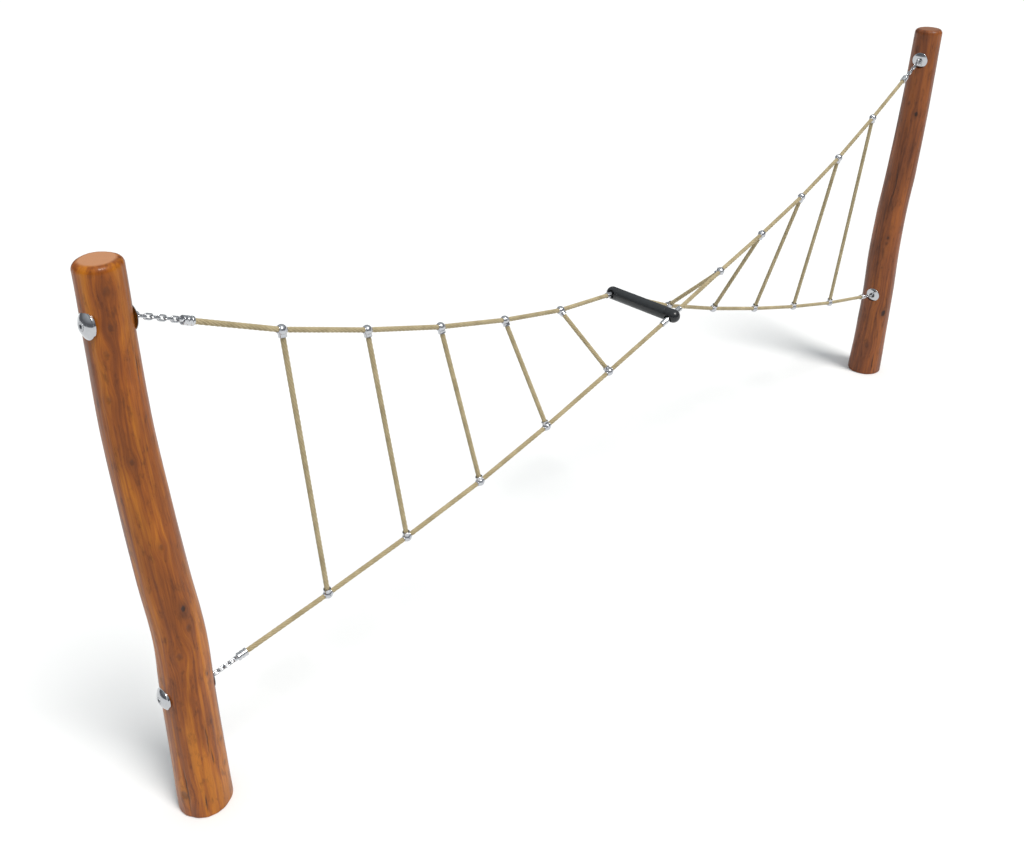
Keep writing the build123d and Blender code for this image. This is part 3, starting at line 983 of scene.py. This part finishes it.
for number, (top, bottom) in enumerate(zip(UPPER_KNOTS, LOWER_KNOTS), start=1):
    down = (bottom - top).normalized()
    line = [top + down * RUNG_TOP_GAP, bottom - down * RUNG_BOTTOM_GAP]
    for side, move in (("left", list), ("right", turned)):
        node_name = side + "_rung_" + str(number)
        laid_rope(side + "_rope_rung_" + str(number), move(line), node_name, [node_name], -1)


# ---- Through bolts: bores in the logs, and the domed washers ----
TOP_BOLT_FALL = radians(9)
TOP_BOLT_TURN = radians(6)
BOTTOM_BOLT_FALL = radians(6)
BOTTOM_BOLT_TURN = 0.0
EYE_BACKSET = 0.0065
EYE_REACH = 0.0125
FLANGE_THICKNESS = 0.004
COUNTERBORE_RADIUS = 0.015
POST_BORE_RADIUS = 0.0108
DOME_RADIUS = 0.040
OUTER_DOME_HEIGHT = 0.017
OUTER_DOME_RIM = 0.005
INNER_DOME_HEIGHT = 0.009
INNER_DOME_RIM = 0.002
INNER_DOME_SINK = 0.005
UNDER_DOME = 0.0012
DOME_PROBE = 0.030
DOME_EDGE = 0.0016
NUT_HEAD_SEAT = 0.0131
NUT_BARREL_SEAT = 0.0106
NUT_HEAD_DEPTH = 0.007
OUTSIDE_REACH = 0.4
NET_SIDE_REACH = 0.06
BORE_OVERLAP = 0.002
POCKET_PLAY = 0.0002
SURFACE_STEP = 0.00025


def wood_surface(trunk, height, point, direction):
    """Where a line going in from outside first meets the plain round log."""
    while True:
        x, y, radius = trunk_at(trunk, height, point.z)
        if hypot(point.x - x, point.y - y) <= radius:
            return point
        point = point + direction * SURFACE_STEP


def domed_washer(name, rim_centre, outward, rim, height, hole, node_name, wood=None, seat=None):
    """A polished domed washer. Given the wood, it is hollowed where the wood bulges up to it."""
    sphere = (DOME_RADIUS**2 + height**2) / (2 * height)

    def above_rim(radius):
        return height - sphere + sqrt(sphere**2 - radius**2)

    profile = [(above_rim(hole) - 0.0008, hole), (above_rim(hole) - 0.0002, hole + 0.0003)]
    first = hole + 0.0008
    steps = 15
    for k in range(steps + 1):
        radius = first + (DOME_RADIUS - DOME_EDGE - first) * k / steps
        profile.append((above_rim(radius), radius))
    edge_height = profile[-1][0]
    for k in range(1, 7):
        turn = pi / 2 * k / 6
        drop = DOME_EDGE * (1 - cos(turn)) * 1.15
        profile.append((edge_height - drop, DOME_RADIUS - DOME_EDGE + DOME_EDGE * sin(turn)))
    rim_foot = profile[-1][0] - 0.0002
    count = 96
    feet = [len(profile), len(profile) + 1]
    profile.append((-rim, DOME_RADIUS))
    if seat:
        depth, throat = seat
        floor_height = above_rim(hole) - depth
        profile += [(-rim, throat), (floor_height, throat), (floor_height, hole)]
    else:
        profile.append((-rim, hole))
    verts, faces = ring_lathe(rim_centre, outward, profile, count)
    if wood:
        for spot_number in [foot * count + k for foot in feet for k in range(count)]:
            start = verts[spot_number] + outward * (DOME_PROBE + rim)
            struck = wood.ray_cast(start, outward * -1)[0]
            drop = (start - struck).length + UNDER_DOME if struck else DOME_PROBE + rim
            drop = min(max(drop, DOME_PROBE - rim_foot), DOME_PROBE + rim)
            verts[spot_number] = start - outward * drop
    return piece(name, verts, faces, DOME_STEEL, "posts", "dome_steel", [node_name], sharp=40)


def solid_rod(start, end, radius, count=48):
    """A closed round bar, to cut with."""
    way = (end - start).normalized()
    length = (end - start).length
    return lathe(start, way, [(0, 0), (0, radius), (length, radius), (length, 0)], count)


def cut(made, tools, finish):
    """Cuts closed shapes out of a piece."""
    mesh = bpy.data.meshes.new("cutter")
    verts, faces = joined(*tools)
    mesh.from_pydata(verts, [], faces)
    mesh.materials.append(finish)
    cutter = bpy.data.objects.new("cutter", mesh)
    bpy.context.collection.objects.link(cutter)
    changer = made.modifiers.new("cut", "BOOLEAN")
    changer.operation = "DIFFERENCE"
    changer.solver = "EXACT"
    changer.use_self = True
    changer.object = cutter
    before = made.data
    depsgraph = bpy.context.evaluated_depsgraph_get()
    result = bpy.data.meshes.new_from_object(made.evaluated_get(depsgraph))
    made.modifiers.clear()
    made.data = result
    carry_vectors(before, result)
    bpy.data.objects.remove(cutter)
    result.polygons.foreach_set("use_smooth", [True] * len(result.polygons))
    result.set_sharp_from_angle(angle=radians(40))


def carry_vectors(before, after):
    """Gives a cut mesh the stored vectors of the mesh it was cut from, by nearest corner point."""
    vectors = [layer for layer in before.attributes if layer.data_type == "FLOAT_VECTOR"]
    names = [layer.name for layer in vectors if layer.name != "position"]
    if not names:
        return
    near = KDTree(len(before.vertices))
    for corner in before.vertices:
        near.insert(corner.co, corner.index)
    near.balance()
    sources = [near.find(corner.co)[1] for corner in after.vertices]
    for name in names:
        old = before.attributes[name].data
        values = [tuple(old[i].vector) for i in sources]
        if name in after.attributes:
            after.attributes.remove(after.attributes[name])
        write_vectors(after, name, values)


def bolt_way(fall, turn):
    """Along a left-hand bolt, from its outer end towards the net."""
    return Vector((cos(fall) * cos(turn), cos(fall) * sin(turn), -sin(fall)))


logs = {
    "left": (left_log, LEFT_TRUNK, LEFT_POST_HEIGHT, WOOD_LEFT),
    "right": (right_log, RIGHT_TRUNK, RIGHT_POST_HEIGHT, WOOD_RIGHT),
}
for side, (log, trunk, height, finish) in logs.items():
    tree = BVHTree.FromObject(log, bpy.context.evaluated_depsgraph_get())
    tools = []
    for level, (anchor, knots, fall, turn) in {
        "top": (TOP_ANCHOR, UPPER_KNOTS, TOP_BOLT_FALL, TOP_BOLT_TURN),
        "bottom": (BOTTOM_ANCHOR, LOWER_KNOTS, BOTTOM_BOLT_FALL, BOTTOM_BOLT_TURN),
    }.items():
        eye = anchor - (knots[0] - anchor).normalized() * EYE_BACKSET
        way = bolt_way(fall, turn)
        if side == "right":
            eye = HALF_TURN @ eye
            way = HALF_TURN @ way
        net_side = eye + way * NET_SIDE_REACH
        inner = wood_surface(trunk, height, net_side, way * -1) - way * INNER_DOME_SINK
        outside = eye - way * OUTSIDE_REACH
        outer = wood_surface(trunk, height, outside, way)
        corner = side + "_" + level
        domed_washer(
            corner + "_net_side_dome",
            inner,
            way,
            INNER_DOME_RIM,
            INNER_DOME_HEIGHT,
            COUNTERBORE_RADIUS,
            corner + "_inner_dome",
        )
        domed_washer(
            corner + "_outside_dome",
            outer,
            way * -1,
            OUTER_DOME_RIM,
            OUTER_DOME_HEIGHT,
            NUT_HEAD_SEAT,
            corner + "_outer_dome",
            tree,
            (NUT_HEAD_DEPTH, NUT_BARREL_SEAT),
        )
        flange = eye - way * (EYE_REACH + FLANGE_THICKNESS)
        tools.append(solid_rod(outside, flange + way * BORE_OVERLAP, POST_BORE_RADIUS))
        tools.append(solid_rod(flange, net_side, COUNTERBORE_RADIUS))
        tools.append(solid_rod(inner - way * INNER_DOME_RIM, net_side, DOME_RADIUS + POCKET_PLAY, 96))
    cut(log, tools, finish)


# ---- Step ----
STEP_RADIUS = 0.029
STEP_HALF = 0.200
STEP_WALL = 0.004
STEP_TUBE_HALF = 0.132
CAP_SPIGOT = 0.022
CAP_BORE = 0.0185
CAP_BORE_REACH = 0.09
MIDDLE = Vector((0, 0, FAR_CROSSING.z))
Y = Vector((0, 1, 0))

tube_profile = [
    (-STEP_TUBE_HALF, STEP_RADIUS - STEP_WALL),
    (-STEP_TUBE_HALF, STEP_RADIUS),
    (0, STEP_RADIUS),
    (STEP_TUBE_HALF, STEP_RADIUS),
    (STEP_TUBE_HALF, STEP_RADIUS - STEP_WALL),
    (0, STEP_RADIUS - STEP_WALL),
    (-STEP_TUBE_HALF, STEP_RADIUS - STEP_WALL),
]
bar = lathe(MIDDLE, Y, fillet_profile(tube_profile, 0.0010, 3), 96)
piece("step_bar", *bar, STEP_COAT, "step", "step_coat", ["step_tube"], sharp=40)

upper_in = (FAR_CROSSING - UPPER_KNOTS[-1]).normalized()
lower_in = (NEAR_CROSSING - LOWER_KNOTS[-1]).normalized()
for name, way, crossing, ropes in (
    ("far", Y, FAR_CROSSING, (upper_in * -1, HALF_TURN @ lower_in * -1)),
    ("near", Y * -1, NEAR_CROSSING, (lower_in * -1, HALF_TURN @ upper_in * -1)),
):
    spigot_end = STEP_TUBE_HALF - CAP_SPIGOT
    shape = [(spigot_end, 0), (spigot_end, STEP_RADIUS - STEP_WALL - 0.0001)]
    shape += [(STEP_TUBE_HALF, STEP_RADIUS - STEP_WALL - 0.0001), (STEP_TUBE_HALF, STEP_RADIUS - 0.0007)]
    shape += [(STEP_TUBE_HALF + 0.0007, STEP_RADIUS)]
    round_centre = STEP_HALF - STEP_RADIUS
    shape += [(STEP_TUBE_HALF + (round_centre - STEP_TUBE_HALF) * k / 8, STEP_RADIUS) for k in range(1, 8)]
    for k in range(25):
        turn = pi / 2 * k / 24
        shape.append((round_centre + STEP_RADIUS * sin(turn), STEP_RADIUS * cos(turn) if k < 24 else 0))
    cap = piece(
        "step_" + name + "_end",
        *lathe(MIDDLE, way, shape, 96),
        STEP_CAP,
        "step",
        "step_cap_black",
        ["step_" + name + "_cap"],
        sharp=40,
    )
    tools = [solid_rod(crossing, crossing + outward * CAP_BORE_REACH, CAP_BORE, 64) for outward in ropes]
    cut(cap, tools, STEP_CAP)

# ---- CAD pieces kept as they are, with a better finish ----
for name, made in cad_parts.items():
    if name.endswith("eye_bolt") or name == "anchor_nuts" or name == "step_pivot_pin":
        for slot in made.material_slots:
            slot.material = BOLT_STEEL

# ---- Floor, light and camera ----
FLOOR_REACH = 60
FLOOR_HEIGHT = -0.0005
floor_mesh = bpy.data.meshes.new("studio_floor")
corners = [(-1, -1), (1, -1), (1, 1), (-1, 1)]
floor_corners = [(FLOOR_REACH * x, FLOOR_REACH * y, FLOOR_HEIGHT) for x, y in corners]
floor_mesh.from_pydata(floor_corners, [], [(0, 1, 2, 3)])
floor_finish, floor_tree, floor_shader = look("studio_floor", Roughness=0.9, Specular_IOR_Level=0.1)
cloud = node(floor_tree, "TexNoise", Scale=0.4, Detail=1).outputs["Fac"]
floor_colour = ramp(floor_tree, cloud, (0.3, (0.90, 0.905, 0.91, 1)), (0.7, (0.91, 0.915, 0.92, 1)))
floor_tree.links.new(floor_colour, floor_shader.inputs["Base Color"])
floor_mesh.materials.append(floor_finish)
studio_floor = bpy.data.objects.new("studio_floor", floor_mesh)
bpy.context.collection.objects.link(studio_floor)

world = bpy.data.worlds.new("studio")
world.use_nodes = True
sky = world.node_tree
sky.nodes.clear()
direction = node(sky, "TexCoord").outputs["Generated"]
height = node(sky, "SeparateXYZ", Vector=direction).outputs["Z"]
shades = ramp(
    sky,
    height,
    (0.0, (0.30, 0.31, 0.33, 1)),
    (0.22, (0.22, 0.23, 0.25, 1)),
    (0.50, (0.62, 0.64, 0.67, 1)),
    (0.75, (0.94, 0.99, 1.0, 1)),
)
lit = node(sky, "Background", Color=shades, Strength=0.67)
seen = node(sky, "Background", Color=grey(1.0), Strength=1.0)
ray = node(sky, "LightPath").outputs["Is Camera Ray"]
both = node(sky, "MixShader", in_0=ray, in_1=lit.outputs[0], in_2=seen.outputs[0])
node(sky, "OutputWorld", Surface=both.outputs[0])
bpy.context.scene.world = world


def sun(name, towards, strength, spread, colour):
    """A soft distant light from a direction."""
    data = bpy.data.lights.new(name, "SUN")
    data.energy = strength
    data.angle = radians(spread)
    data.color = colour
    made = bpy.data.objects.new(name, data)
    made.rotation_mode = "QUATERNION"
    made.rotation_quaternion = Vector(towards).to_track_quat("Z", "Y")
    bpy.context.collection.objects.link(made)


sun("key_light", (0.02, -0.46, 0.887), 2.45, 18, (1.0, 0.975, 0.94))

camera_data = bpy.data.cameras.new("camera")
camera_data.sensor_width = 36
camera_data.lens = 36.31
camera_data.clip_end = 300
camera = bpy.data.objects.new("camera", camera_data)
camera.location = (-3.3284, -2.5597, 3.1169)
camera.rotation_euler = (radians(58.629), 0, radians(-44.578))
bpy.context.collection.objects.link(camera)
bpy.context.scene.camera = camera
bpy.context.scene.view_settings.view_transform = "Standard"
